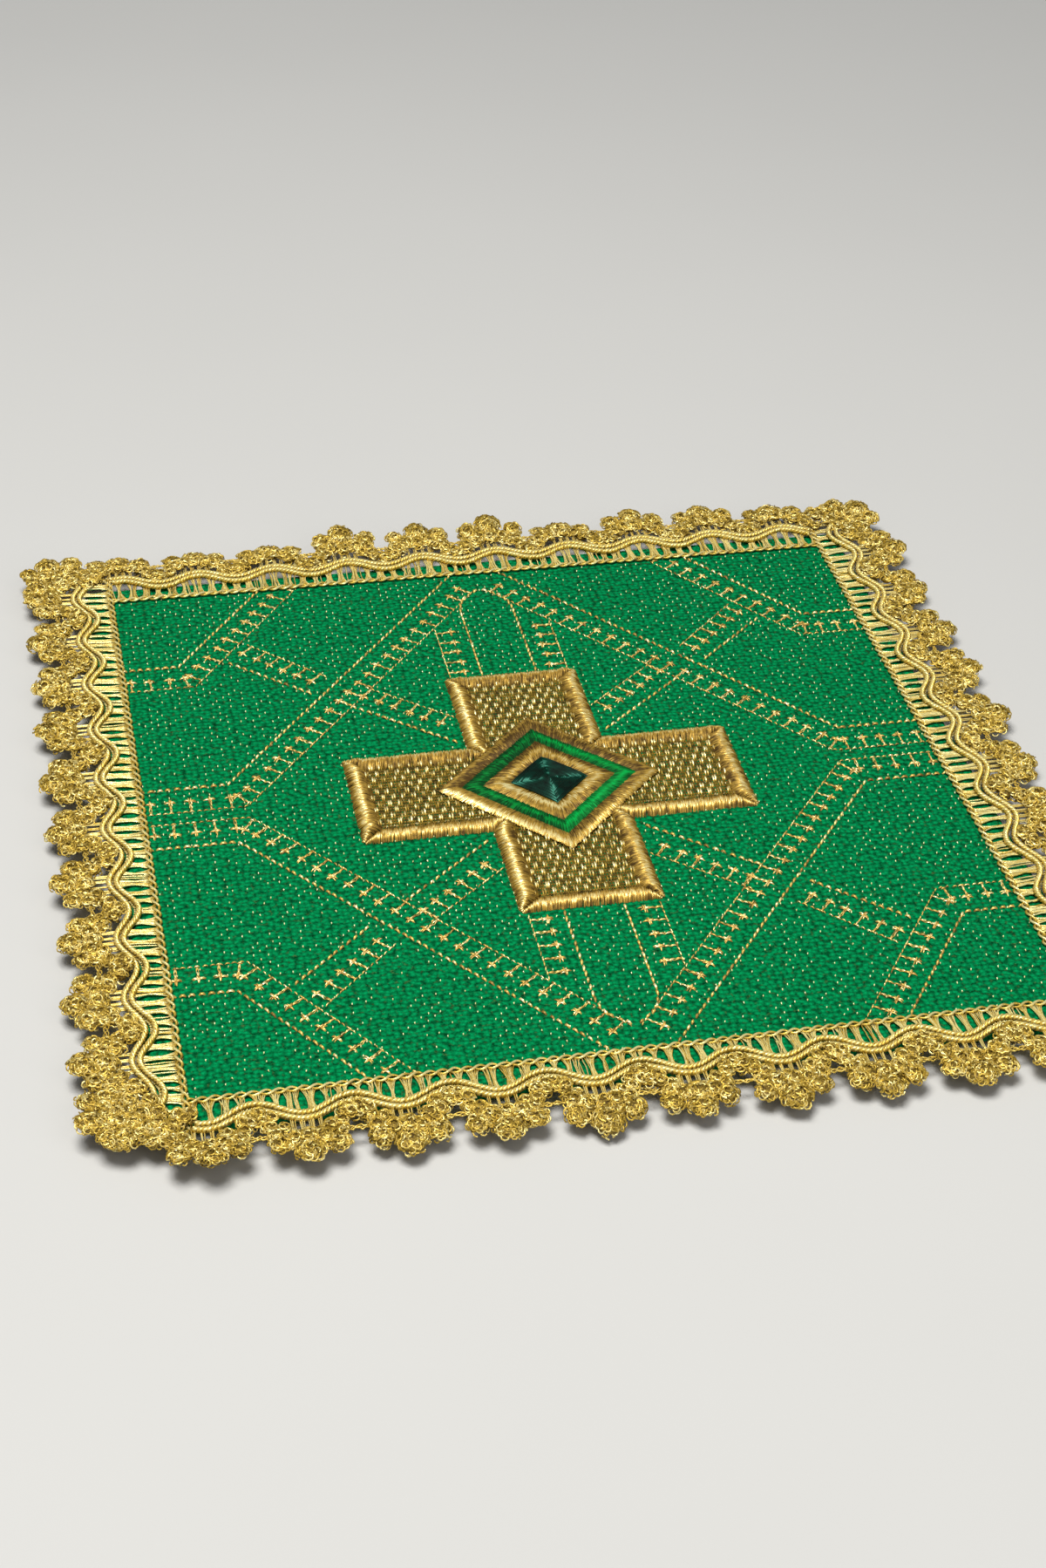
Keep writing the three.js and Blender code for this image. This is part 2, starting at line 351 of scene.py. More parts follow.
# Woven gold: strap lines and small crossed marks, drawn for the back left quarter and mirrored
fieldEdge = 70.3
woven = {
    "boldFloat": 1.3, "boldPitch": 1.5, "boldRadius": 0.27,
    "thinFloat": 1.0, "thinPitch": 1.15, "thinRadius": 0.14,
    "lift": 0.1, "sink": 0.04, "flatness": 0.8, "lean": 0.08,
    "uneven": 0.1, "lengths": (0.8, 1.1), "stray": 0.05, "tone": (0.15, 1.25),
}
marks = {
    "pitch": 3.4, "out": 2.9, "arm": 0.95, "radius": 0.155, "apart": 0.13, "overlap": 0.1,
    "stemRadius": 0.13, "stemApart": 0.14, "footRadius": 0.17, "footHalf": 0.4,
    "stray": 0.12, "tipStray": 0.2,
}
straps = [  # side: which way the marks stand from a thin line, seen along its route
    {"line": "bold", "route": [(-fieldEdge, 8.2), (-54.9, 8.2), (-4.4, fieldEdge)]},
    {"line": "thin", "route": [(-fieldEdge, 1.6), (-52.2, 1.6), (-0.7, 64.4)], "side": 1},
    {"line": "bold", "route": [(-fieldEdge, 46.0), (-59.6, 46.0), (-41.8, fieldEdge)]},
    {"line": "thin", "route": [(-fieldEdge, 39.2), (-57.2, 39.2), (-34.5, fieldEdge)], "side": 1},
    {"line": "bold", "route": [(-50.7, 46.1), (-36.7, 33.6)]},
    {"line": "thin", "route": [(-46.6, 51.8), (-33.2, 38.6)], "side": -1},
    {"line": "bold", "route": [(-30.4, 28.6), (-13.4, 14.4)]},
    {"line": "thin", "route": [(-27.0, 34.4), (-12.4, 22.1)], "side": -1},
    {"line": "bold", "route": [(-5.05, 34.8), (-5.05, 57.5), (-3.9, 61.2), (-0.4, 64.0)]},
    {"line": "thin", "route": [(-11.0, 34.8), (-11.0, 51.5)], "side": -1},
]


def floatBatch(starts, ends, radius, tone, steps):  # short arched floats lying on the cloth
    t = np.linspace(0, 1, steps)[None, :, None]
    flat = starts[:, None, :] * (1 - t) + ends[:, None, :] * t
    arch = np.sin(np.pi * t)
    height = clothTop - woven["sink"] + (woven["lift"] + radius) * arch**0.6
    points = np.concatenate([flat, np.broadcast_to(height, flat.shape[:2] + (1,))], axis=-1)
    swell = np.broadcast_to(radius * (0.5 + 0.5 * arch[..., 0]), flat.shape[:2])
    # painted shade: each float is darker towards its ends, where it dips into the cloth
    tone = tone[:, None, None] * (0.35 + 0.65 * arch)
    return tubes(points, swell, flatness=woven["flatness"], tone=tone, bare=True)


def dashes(route, length, pitch):  # starts and ends of the floats along a line
    walk = evenly(np.array(route, float), 0.1)
    distance = np.linalg.norm(np.diff(walk, axis=0), axis=1).sum()
    count = max(1, int(distance / pitch))
    middle = (np.arange(count) + 0.5 + stray(woven["uneven"], count)) / count
    reach = length / distance / 2 * chance.uniform(*woven["lengths"], count)
    travel = np.linspace(0, 1, len(walk))
    ends = []
    for share, way in ((middle - reach, -1), (middle + reach, 1)):
        spot = np.stack([np.interp(share, travel, walk[:, i]) for i in (0, 1)], axis=1)
        ends.append(spot + (-woven["lean"] * way, 0) + stray(woven["stray"], spot.shape))
    return ends


def markFloats(route, side):  # starts, ends and radius of the floats that make the marks along a thin line
    full = evenly(np.array(route, float), marks["pitch"])
    ahead = unit(np.diff(full, axis=0))
    out = side * np.stack([-ahead[:, 1], ahead[:, 0]], axis=1)
    base = (full[:-1] + full[1:]) / 2
    middle = base + out * marks["out"] + stray(marks["stray"], base.shape)
    floats = []
    for way in (ahead, -ahead, out, -out):  # four short arms, each of two thin floats
        beside = np.stack([-way[:, 1], way[:, 0]], axis=1) * marks["apart"]
        for shift in (beside, -beside):
            tip = middle + shift + way * marks["arm"] + stray(marks["tipStray"], base.shape)
            floats.append(((middle + shift - way * marks["overlap"], tip), marks["radius"]))
    foot = middle - out * marks["arm"] * 0.6
    for spread in (-marks["stemApart"], marks["stemApart"]):
        halfway = (base + foot) / 2 + ahead * spread + stray(marks["stray"], base.shape)
        floats += [((base, halfway), marks["stemRadius"]), ((halfway, foot), marks["stemRadius"])]
    half = ahead * marks["footHalf"]
    floats.append(((base - half, base + half), marks["footRadius"]))
    return floats


def insideField(spots):
    return np.max(np.abs(spots), axis=1) < fieldEdge


def wovenLines():
    batches = []
    for mirrorX in (1, -1):
        for mirrorY in (1, -1):
            flip = np.array([mirrorX, mirrorY])
            for strap in straps:
                kind = strap["line"]
                line = dashes(strap["route"], woven[kind + "Float"], woven[kind + "Pitch"])
                runs = [(line, woven[kind + "Radius"])]
                if kind == "thin":
                    runs += markFloats(strap["route"], strap["side"])
                for (starts, ends), radius in runs:
                    keep = insideField(starts) & insideField(ends)
                    starts, ends = starts[keep] * flip, ends[keep] * flip
                    tone = chance.uniform(*woven["tone"], len(starts))
                    if len(starts):
                        batches.append(floatBatch(starts, ends, radius, tone, 4))
    return joinedMesh("wovenStraps", batches)


addPiece("wovenStraps", wovenLines(), finishes["wovenGold"], "gold_thread")

# Metallic glints: tiny flecks of the fine metal strands that come up between the green yarns, given pale
# colours as painted glints
glints = {
    "share": 0.42, "length": (0.2, 0.4), "width": 0.13, "tone": (0.5, 1.3),
    "columns": 62, "rows": 35, "scatter": 0.12, "turn": 0.3,
}


def glintMesh():
    across, down = clothLook["across"], 2 * clothLook["down"]
    columns, rows = glints["columns"], glints["rows"]
    column, row = np.meshgrid(np.arange(-columns, columns + 1), np.arange(-rows, rows + 1))
    spots = np.stack([column * across, row * down + (column % 2) * down / 2], axis=-1).reshape(-1, 2)
    spots = spots + chance.normal(0, glints["scatter"], spots.shape)
    spots = spots[insideField(spots) & (chance.random(len(spots)) < glints["share"])]
    count = len(spots)
    turn = np.pi / 2 + chance.normal(0, glints["turn"], count)
    half = chance.uniform(*glints["length"], count)[:, None] / 2
    way = np.stack([np.cos(turn), np.sin(turn)], axis=1) * half
    tone = chance.uniform(*glints["tone"], count)
    return joinedMesh("clothGlints", [floatBatch(spots - way, spots + way, glints["width"], tone, 3)])


addPiece("clothGlints", glintMesh(), finishes["glintGold"], "gold_thread")

# Satin stitch: threads laid side by side over a crowned band, with a painted highlight along one line of it
# and a small painted glint on each thread
satin = {
    "steps": 10, "ragged": 0.2, "flatness": 0.9, "fullWidth": 2.4, "rise": (0.92, 1.04), "slowTone": 0.06,
    "paintedHighlightSpread": 0.07, "paintedHighlightWidth": 0.15,
    "paintedGlint": 0.3, "paintedGlintSpan": (0.15, 0.85), "paintedGlintWidth": 0.08,
}


def stitchTone(base, spread, count):
    return base + satin["slowTone"] * slowNoise(count, 9) + chance.uniform(*spread, count)


def satinStitches(outer, inner, look, lift, tone, paintedShine):
    count = len(outer)
    width = np.linalg.norm(outer - inner, axis=1)
    way = unit(outer - inner)
    outer = outer + way * stray(satin["ragged"], (count, 1))
    inner = inner - way * stray(satin["ragged"], (count, 1))
    t = np.linspace(0, 1, satin["steps"])
    arch = np.sin(np.pi * t) ** 0.8
    crest = look["bright"] + chance.normal(0, satin["paintedHighlightSpread"], (count, 1))
    paintedGlint = chance.uniform(*satin["paintedGlintSpan"], (count, 1))
    # painted highlight: each stitch is made lighter along one line of the band, and the rest keeps its darker
    # base tone
    tone = tone[:, None] + paintedShine * np.exp(-(((t - crest) / satin["paintedHighlightWidth"]) ** 2))
    # painted glint: a small lighter spot at a random place on each stitch
    tone = tone + satin["paintedGlint"] * np.exp(-(((t - paintedGlint) / satin["paintedGlintWidth"]) ** 2))
    flat = outer[:, None, :] * (1 - t)[None, :, None] + inner[:, None, :] * t[None, :, None]
    rise = look["crown"] * np.minimum(1, width / satin["fullWidth"]) * chance.uniform(*satin["rise"], count)
    height = lift + rise[:, None] * arch[None, :]
    points = np.concatenate([flat, height[..., None]], axis=-1)
    return tubes(points, look["threadRadius"], flatness=satin["flatness"], tone=tone[..., None], bare=True)


cross = {
    "span": 68.8, "arm": 24.2, "border": 3.6, "crown": 1.05, "sink": 0.02,
    "stitch": 0.15, "threadRadius": 0.125, "firstStitch": 0.05, "uneven": 0.05, "shortest": 0.35,
    "slant": 0.5, "slantSpread": 0.2,
    "press": 0.42, "pressInset": 0.4,  # what is left of the border's height under the diamonds
    # tone is the stitches' darker base, lifted by the painted highlight along one line
    "tone": 0.17, "toneSpread": (-0.12, 0.16), "paintedShine": 0.74,
    "bright": 0.38,  # share of the way in from the outer edge where the stitches carry their painted highlight
}
diamond = {"outer": 19.5, "stitch": 0.15, "wobble": 0.3, "tone": 0.17, "toneSpread": (-0.16, 0.2)}


def crossCorners(inset):
    tip = cross["span"] / 2 - inset
    side = cross["arm"] / 2 - inset
    points = np.array([(tip, -side), (tip, side), (side, side)], float)
    turns = [np.array([[0, -1], [1, 0]]), np.array([[-1, 0], [0, -1]]), np.array([[0, 1], [-1, 0]])]
    return np.vstack([points] + [points @ turn.T for turn in turns])


def borderStitches():
    outline = crossCorners(0)
    width = cross["border"]
    inside = crossCorners(width)
    lift = clothTop - cross["sink"]
    batches = []
    for i in range(len(outline)):
        after = (i + 1) % len(outline)
        a, b, c, d = outline[i], outline[after], inside[i], inside[after]
        length = np.linalg.norm(b - a)
        ahead = (b - a) / length
        inward = np.array([-ahead[1], ahead[0]])
        startMitre, endMitre = (c - a) @ ahead, (b - d) @ ahead
        low, high = min(0, startMitre), max((b - a) @ ahead, (d - a) @ ahead)
        place = np.arange(low + cross["firstStitch"], high, cross["stitch"])
        place = place + stray(cross["uneven"], len(place))
        # a mitre at each end: outer corners cut the stitch short inside, inner corners cut it short outside
        fromStart = place / startMitre * width
        fromEnd = (length - place) / endMitre * width
        nearest = np.zeros(len(place))
        farthest = np.full(len(place), width)
        for share, mitre in ((fromStart, startMitre), (fromEnd, endMitre)):
            if mitre > 0:
                farthest = np.minimum(farthest, np.maximum(share, 0))
            else:
                nearest = np.maximum(nearest, np.minimum(share, width) * (share > 0))
        keep = farthest - nearest > cross["shortest"]
        place, nearest, farthest = place[keep], nearest[keep], farthest[keep]
        slant = cross["slant"] + chance.normal(0, cross["slantSpread"], len(place))
        lean = slant * (farthest - nearest) / width / 2
        first = a + np.outer(place - lean, ahead) + np.outer(nearest, inward)
        last = a + np.outer(place + lean, ahead) + np.outer(farthest, inward)
        tone = stitchTone(cross["tone"], cross["toneSpread"], len(place))
        batches.append(satinStitches(first, last, cross, lift, tone, cross["paintedShine"]))
    for batch in batches:
        verts = batch["verts"]
        under = np.abs(verts[:, :2]).sum(axis=1) < diamond["outer"] - cross["pressInset"]
        verts[under, 2] = clothTop + (verts[under, 2] - clothTop) * cross["press"]
    return joinedMesh("crossBorder", batches)


addPiece("crossBorder", borderStitches(), finishes["satinGold"], "gold_thread", "cross_border")

# Patterned ground: threads that rise in staggered rows over brown ones laid across, a little green between
fill = {
    "pitch": 0.4375, "radius": 0.168, "wave": 3.5, "group": 2, "rise": 0.5, "step": 0.35, "lift": 0.16,
    "wander": 0.05, "phaseStray": 0.04, "sway": 0.05, "swayStray": 0.06,
    "dip": 0.42,  # a thread rises where its wave is above this
    # the third value sets how much lighter each thread is painted where it rises: a painted highlight
    "tone": 0.2, "slowTone": 0.2, "paintedTopLight": 0.95, "crestUneven": 0.35,
    "weftPitch": 0.8, "weftRadius": 0.17, "weftLift": 0.06, "weftStray": 0.08, "weftTone": (0.1, 0.35),
    "overlap": 0.3, "tuck": 2.5,  # reach under the border and under the diamonds
}


def groundThreads():
    reach = cross["span"] / 2 - cross["border"] + fill["overlap"]
    side = cross["arm"] / 2 - cross["border"] + fill["overlap"]
    batches = []
    for number, x in enumerate(np.arange(-reach, reach, fill["pitch"])):
        end = reach if abs(x) < side else side
        y = np.arange(-end, end + fill["step"], fill["step"])
        covered = abs(x) + abs(y) < diamond["outer"] - fill["tuck"]
        phase = (number // fill["group"]) % 2 * 0.5
        wander = fill["wander"] * slowNoise(len(y), 6) + stray(fill["phaseStray"])
        swell = np.cos(2 * np.pi * (y / fill["wave"] + phase + wander))
        crest = np.clip((swell - fill["dip"]) / (1 - fill["dip"]), 0, 1) ** 0.5
        crest = crest * (0.85 + 0.3 * slowNoise(len(y), 5))
        z = clothTop + fill["lift"] + fill["rise"] * crest
        # painted highlight and shade: each thread is lighter where it rises over the others and darker where
        # it lies low
        glow = fill["paintedTopLight"] + fill["crestUneven"] * slowNoise(len(y), 2)
        tone = fill["tone"] + glow * crest + fill["slowTone"] * slowNoise(len(y), 3)
        sway = x + fill["sway"] * slowNoise(len(y), 4) + stray(fill["swayStray"])
        for run in np.split(np.arange(len(y)), np.nonzero(np.diff(covered.astype(int)))[0] + 1):
            if covered[run[0]] or len(run) < 4:
                continue
            points = np.stack([sway[run], y[run], z[run]], axis=1)[None]
            thick = fill["radius"] * (1 + 0.2 * crest[run])[None]
            batches.append(tubes(points, thick, tone=tone[run][None, :, None], bare=True))
    for y in np.arange(-reach, reach, fill["weftPitch"]):  # brown threads laid across underneath
        end = reach if abs(y) < side else side
        x = np.linspace(-end, end, 9)
        low = np.full(9, clothTop + fill["weftLift"])
        points = np.stack([x, y + stray(fill["weftStray"], 9), low], axis=1)[None]
        tone = chance.uniform(*fill["weftTone"], 1)
        batches.append(tubes(points, fill["weftRadius"], tone=tone, bare=True))
    return joinedMesh("crossGround", batches)


addPiece("crossGround", groundThreads(), finishes["fillGold"], "stitched_ground", "cross_ground")

# Nested diamonds: satin bands whose stitches fan out from the middle
bands = [  # the sheen values paint each side of a satin diamond lighter or darker: a painted sheen for how that side catches the light
    {
        "name": "diamondGoldOuter", "node": "diamond_gold_outer",
        "finish": "satinGold", "slot": "gold_thread",
        "outer": 19.5, "inner": 15.2, "crown": 0.45, "lift": 0.55, "threadRadius": 0.14,
        "paintedSheen": (-0.2, -0.24, 0.12, -0.08), "paintedShine": 0.7, "bright": 0.2,
    },
    {
        "name": "diamondGreen", "node": "diamond_green",
        "finish": "satinGreen", "slot": "green_thread",
        "outer": 15.5, "inner": 11.7, "crown": 0.3, "lift": 0.68, "threadRadius": 0.14,
        "paintedSheen": (-0.05, -0.24, -0.14, 0.04), "paintedShine": 0.5, "bright": 0.5,
    },
    {
        "name": "diamondGoldInner", "node": "diamond_gold_inner",
        "finish": "satinGold", "slot": "gold_thread",
        "outer": 11.9, "inner": 6.7, "crown": 0.45, "lift": 0.62, "threadRadius": 0.14,
        "paintedSheen": (-0.14, -0.2, 0.1, -0.06), "paintedShine": 0.85, "bright": 0.6,
    },
]


def quarterTurn(quarter):
    turn = quarter * math.pi / 2
    return np.array([[math.cos(turn), -math.sin(turn)], [math.sin(turn), math.cos(turn)]])


def bandStitches(band):
    batches = []
    count = int(band["outer"] * math.sqrt(2) / diamond["stitch"])
    share = (np.arange(count) + 0.5) / count
    lift = clothTop + band["lift"]
    for quarter, paintedSheen in enumerate(band["paintedSheen"]):
        wobble = share + stray(diamond["wobble"], count) / count
        edge = np.stack([1 - wobble, wobble], axis=1) @ quarterTurn(quarter).T
        # painted sheen: each side is made lighter or darker for how the light falls on it, and its painted
        # highlight changes with it
        tone = stitchTone(diamond["tone"] + paintedSheen, diamond["toneSpread"], count)
        outer, inner = edge * band["outer"], edge * band["inner"]
        batches.append(satinStitches(outer, inner, band, lift, tone, band["paintedShine"] + paintedSheen))
    return joinedMesh(band["name"], batches)


for band in bands:
    addPiece(band["name"], bandStitches(band), finishes[band["finish"]], band["slot"], band["node"])

# Dark centre: four facets of stitches that run from seam to seam, with a painted highlight that makes them
# palest at the seams
centre = {
    "halfDiagonal": 6.9, "stitch": 0.24, "lift": 0.75, "peak": 0.35, "sink": 0.3, "radius": 0.12,
    "tone": 0.16, "seam": 0.36, "toneSpread": (0.3, 1.2),
}


def centreStitches():
    batches = []
    count = int(centre["halfDiagonal"] / math.sqrt(2) / centre["stitch"])
    size = centre["halfDiagonal"] * (np.arange(count) + 0.6) / count
    t = np.linspace(0, 1, 9)
    arch = np.sin(np.pi * t) ** 0.4
    seam = np.clip(1 - np.minimum(t, 1 - t) / centre["seam"], 0, 1)
    slope = 1 - size[:, None] / centre["halfDiagonal"]
    height = clothTop + centre["lift"] + centre["peak"] * slope + centre["sink"] * arch[None]
    for quarter in range(4):
        flat = size[:, None, None] * np.stack([1 - t, t], axis=1)[None] @ quarterTurn(quarter).T
        points = np.concatenate([flat, height[..., None]], axis=-1)
        spread = chance.uniform(*centre["toneSpread"], (count, 1, 1))
        # painted highlight: the stitches are lighter near the seams, where they dive in
        tone = (centre["tone"] + seam**1.5)[None, :, None] * spread
        batches.append(tubes(points, centre["radius"], sides=4, tone=tone))
    return joinedMesh("diamondCentre", batches)


addPiece("diamondCentre", centreStitches(), finishes["satinDark"], "dark_thread", "diamond_centre")

# Lace: thread by thread, drawn along x with its scallops pointing to +y, then turned to its side
lace = {"innerEdge": 70.0, "pitch": 14.6}
# a corner scallop: place along, distance out, degrees it points from straight out, bend of its tip
laceLengths = [
    {
        "name": "lace_back", "turn": 0, "end": 69.7, "cord": (-69.4, 69.4), "shift": -1.9,
        "lifts": [-2, -2.1, -2, 2.1, 1.1, 1.7, -1.6, 0.6, 0, -1.3], "corners": [],
    },
    {
        "name": "lace_left", "turn": 90, "end": 78.6, "cord": (-76.0, 74.5), "shift": 4.9,
        "lifts": [0.4, -0.3, 0, 0.5, -0.4, 0.2, 0.5, -0.2, 0.3, 0.8],
        "corners": [(-72, 79.2, -20, 1.2), (-73, 77, -60, 0.6), (77.6, 79.4, 70, 0.6)],
    },
    {
        "name": "lace_front", "turn": 180, "end": 69.7, "cord": (-69.4, 69.4), "shift": 2,
        "lifts": [0, -0.5, -0.8, -0.8, -0.4, -1.7, 0, -0.8, 0.4, 2.1], "corners": [],
    },
    {
        "name": "lace_right", "turn": 270, "end": 78.6, "cord": (-76.5, 76.5), "shift": 0.7,
        "lifts": [0.3, 0, -0.4, 0.4, 0.2, -0.3, 0.5, 0, -0.2, 0.4],
        "corners": [(-77.3, 77.3, -45, 0.4), (77.3, 77.3, 45, -0.4)],
    },
]

cord = {  # two cords side by side in one wave, each of three plies
    "line": 5.1, "swing": 1.4, "apart": 0.6, "bendApart": 0.2, "height": 3.4,
    "radius": 0.6, "plies": 3, "plyRadius": 0.34, "twist": 2.1, "steps": 8, "slack": 0.06,
    "tone": 0.62, "paintedTopLight": 0.3, "slowTone": 0.14,
}


def cordWave(x, shift):
    return cord["line"] - cord["swing"] * np.cos(2 * np.pi * (x - shift) / lace["pitch"])


def waveCords(length):
    x = np.linspace(*length["cord"], 2400)
    line = np.stack([x, cordWave(x, length["shift"])], axis=1)
    ahead = unit(np.gradient(line, axis=0))
    out = np.stack([-ahead[:, 1], ahead[:, 0]], axis=1)
    inward = np.maximum(np.cos(2 * np.pi * (x - length["shift"]) / lace["pitch"]), 0)
    apart = cord["apart"] + cord["bendApart"] * inward
    batches = []
    for side in (-1, 1):
        path = np.column_stack([line + side * out * apart[:, None], np.full(len(x), cord["height"])])
        path = evenly(path, cord["twist"] / cord["steps"])
        sideways = unit(np.cross(unit(np.gradient(path, axis=0)), (0, 0, 1)))
        for ply in range(cord["plies"]):
            travel = np.arange(len(path)) / cord["steps"] + ply / cord["plies"]
            turn = (travel + cord["slack"] * slowNoise(len(path), 7)) * 2 * np.pi
            around = np.cos(turn)[:, None] * sideways + np.sin(turn)[:, None] * np.array([0, 0, 1.0])
            strand = path + (cord["radius"] - cord["plyRadius"]) * around
            # painted highlight and shade: each ply is lighter on top of the cord and darker underneath
            tone = cord["tone"] + cord["paintedTopLight"] * np.sin(turn)
            tone = tone + cord["slowTone"] * slowNoise(len(path), 3)
            batches.append(tubes(strand[None], cord["plyRadius"], tone=tone[None, :, None]))
    return batches


web = {
    "pitch": 0.3, "radius": 0.145, "height": 2.68, "rise": 0.3, "uneven": (-0.08, 0.12), "stray": 0.04,
    "window": 2.5, "windowStray": 0.4, "windowWidth": (0.55, 0.95), "slip": 0.35,
    "loose": 0.08, "looseShare": 0.15,  # how many strands stay inside their window, and how far they part
    "tone": (0.65, 1.25), "paintedEdgeShade": 0.35,
}


def ladder(length):  # fine strands from the cord to the inner edge, parted by leaf-shaped openings
    span = length["end"] - 0.3
    window = web["window"]
    place = np.arange(-span, span, web["pitch"])
    count = len(place)
    openings = np.arange(-span, span + window, window)
    openings = openings + stray(web["windowStray"], len(openings))
    width = chance.uniform(*web["windowWidth"], len(openings))
    slip = stray(web["slip"], len(openings))
    nearest = np.abs(place[:, None] - openings[None]).argmin(axis=1)
    away = place - openings[nearest]
    t = np.linspace(0, 1, 7)
    leaf = np.sin(np.pi * np.clip(t * 1.1 - 0.05, 0, 1)) ** 0.7
    loose = np.where(chance.random(count) < web["loose"], web["looseShare"], 1)
    opened = width[nearest][:, None] * leaf * loose[:, None]
    parted = np.sign(away)[:, None] * (opened + np.abs(away)[:, None] * (1 - opened / (window / 2)))
    x = openings[nearest][:, None] + parted + slip[nearest][:, None] * t
    x = x + chance.normal(0, web["stray"], x.shape)
    y = 0.1 + (cordWave(place, length["shift"]) - 0.1)[:, None] * t
    z = web["height"] + web["rise"] * t + chance.uniform(*web["uneven"], (count, 1))
    # painted shade: the strands are darker at the inner edge, where they run under the edge chain
    tone = chance.uniform(*web["tone"], (count, 1)) - web["paintedEdgeShade"] * (t < 0.1)
    return [tubes(np.stack([x, y, z], axis=-1), web["radius"], tone=tone[..., None])]


chain = {
    "pitch": 3.8, "swing": 0.45, "radius": 0.25, "step": 0.36, "lift": 0.16, "crossing": 0.12, "stray": 0.08,
    "tone": 0.7, "paintedTopLight": 0.4, "slowTone": 0.25,
}


def edgeChain(length):  # two thin threads looping round each other along the inner edge
    x = np.arange(-length["end"], length["end"], chain["step"])
    batches = []
    for phase in (0.0, np.pi):
        turn = 2 * np.pi * x / chain["pitch"] + phase
        y = 0.05 + chain["swing"] * np.sin(turn) + chain["stray"] * slowNoise(len(x), 3)
        z = web["height"] + chain["lift"] + chain["crossing"] * np.cos(turn)
        # painted highlight and shade: each thread is lighter where it crosses over and darker where it passes
        # under
        tone = chain["tone"] + chain["paintedTopLight"] * np.cos(turn) + chain["slowTone"] * slowNoise(len(x), 4)
        points = np.stack([x, y, z], axis=-1)[None]
        batches.append(tubes(points, chain["radius"], sides=4, tone=tone[None, :, None]))
    return batches


spurs = {
    "bundles": (-2.1, -0.75, 0.65, 2.0), "threads": (-0.3, -0.1, 0.1, 0.3), "gather": 0.4,
    "end": 10.2, "endStray": 0.2, "height": 3.15, "uneven": (-0.1, 0.15), "stray": 0.12,
    "radius": 0.14, "tone": (0.65, 1.0),
}


def outerLadder(centres, shift):  # short bundles between the cord and the scallops, with slits between them
    count = len(centres)
    batches = []
    t = np.linspace(0, 1, 4)
    for bundle in spurs["bundles"]:
        for offset in spurs["threads"]:
            place = centres + bundle + offset + stray(spurs["stray"], count)
            start = cordWave(place, shift)[:, None]
            x = place[:, None] * (1 - t) + (place - offset * spurs["gather"])[:, None] * t
            y = start * (1 - t) + (spurs["end"] + stray(spurs["endStray"], count))[:, None] * t
            z = np.full(x.shape, spurs["height"]) + chance.uniform(*spurs["uneven"], (count, 1))
            tone = chance.uniform(*spurs["tone"], count)
            batches.append(tubes(np.stack([x, y, z], axis=-1), spurs["radius"], tone=tone))
    return batches


bridge = {
    "rows": 3, "rowPitch": 0.28, "half": 1.9, "line": 10.0, "ripple": 0.14, "stray": 0.12,
    "height": 3.4, "uneven": 0.15, "radius": 0.15, "tone": 0.65,
}


def bridges(bends):  # loose thin threads that close the small eye between two scallops
    batches = []
    t = np.linspace(-1, 1, 12)
    for row in range(bridge["rows"]):
        x = bends[:, None] + bridge["half"] * t
        ripple = bridge["ripple"] * np.sin(8 * t + 2 * row)[None]
        y = bridge["line"] + bridge["rowPitch"] * row + ripple + stray(bridge["stray"], x.shape)
        z = bridge["height"] + stray(bridge["uneven"], x.shape)
        batches.append(tubes(np.stack([x, y, z], axis=-1), bridge["radius"], tone=bridge["tone"]))
    return batches


scallops = {
    "height": 3.55, "root": 9.0, "reach": 8.0, "liftCurve": 1.4, "turn": 1.5,
    "padHeight": 0.75, "padStray": 0.14, "padUneven": 0.15, "padThick": (0.85, 1.15), "paintedPadShade": 0.13,
    "curls": 3.7, "curlSize": (0.36, 0.68), "curlThread": 0.135, "curlTone": (0.2, 0.98), "curlInset": 0.4,
    "below": 0.15,  # share of the curls on the underside
}
# the round pads that make up a scallop: place across, distance out from the lace's inner edge, radius
scallopPads = [
    (-4.2, 12.75, 2.15), (4.2, 12.75, 2.15), (0, 14.1, 2.75),
    (-2.3, 11.2, 1.95), (2.3, 11.2, 1.95), (0, 11.0, 1.9),
    (-4.4, 10.4, 1.6), (4.4, 10.4, 1.6), (-5.2, 8.7, 1.35), (5.2, 8.7, 1.35),
    (-3.4, 9.2, 1.35), (3.4, 9.2, 1.35), (-5.2, 6.9, 1.3), (5.2, 6.9, 1.3),
    (-6.6, 7.4, 1.25), (6.6, 7.4, 1.25), (-6.8, 5.9, 1.15), (6.8, 5.9, 1.15),
]
cornerPads = scallopPads + [(0, 8.4, 1.5), (-2.2, 7.2, 1.4), (2.2, 7.2, 1.4), (0, 5.8, 1.4)]


def curls(middles, facing, outward, size):  # short curved strokes of fine thread, bulging outwards
    lean = unit(np.cross(np.cross(facing, outward), facing))
    second = np.cross(facing, lean)
    sweep = np.linspace(-0.5 * np.pi, 0.5 * np.pi, 5)
    ring = np.cos(sweep)[:, None] * lean[:, None] + np.sin(sweep)[:, None] * second[:, None]
    points = middles[:, None] + size[:, None, None] * ring
    tone = chance.uniform(*scallops["curlTone"], len(middles))
    return tubes(points, scallops["curlThread"], up=facing[:, None], tone=tone, bare=True)


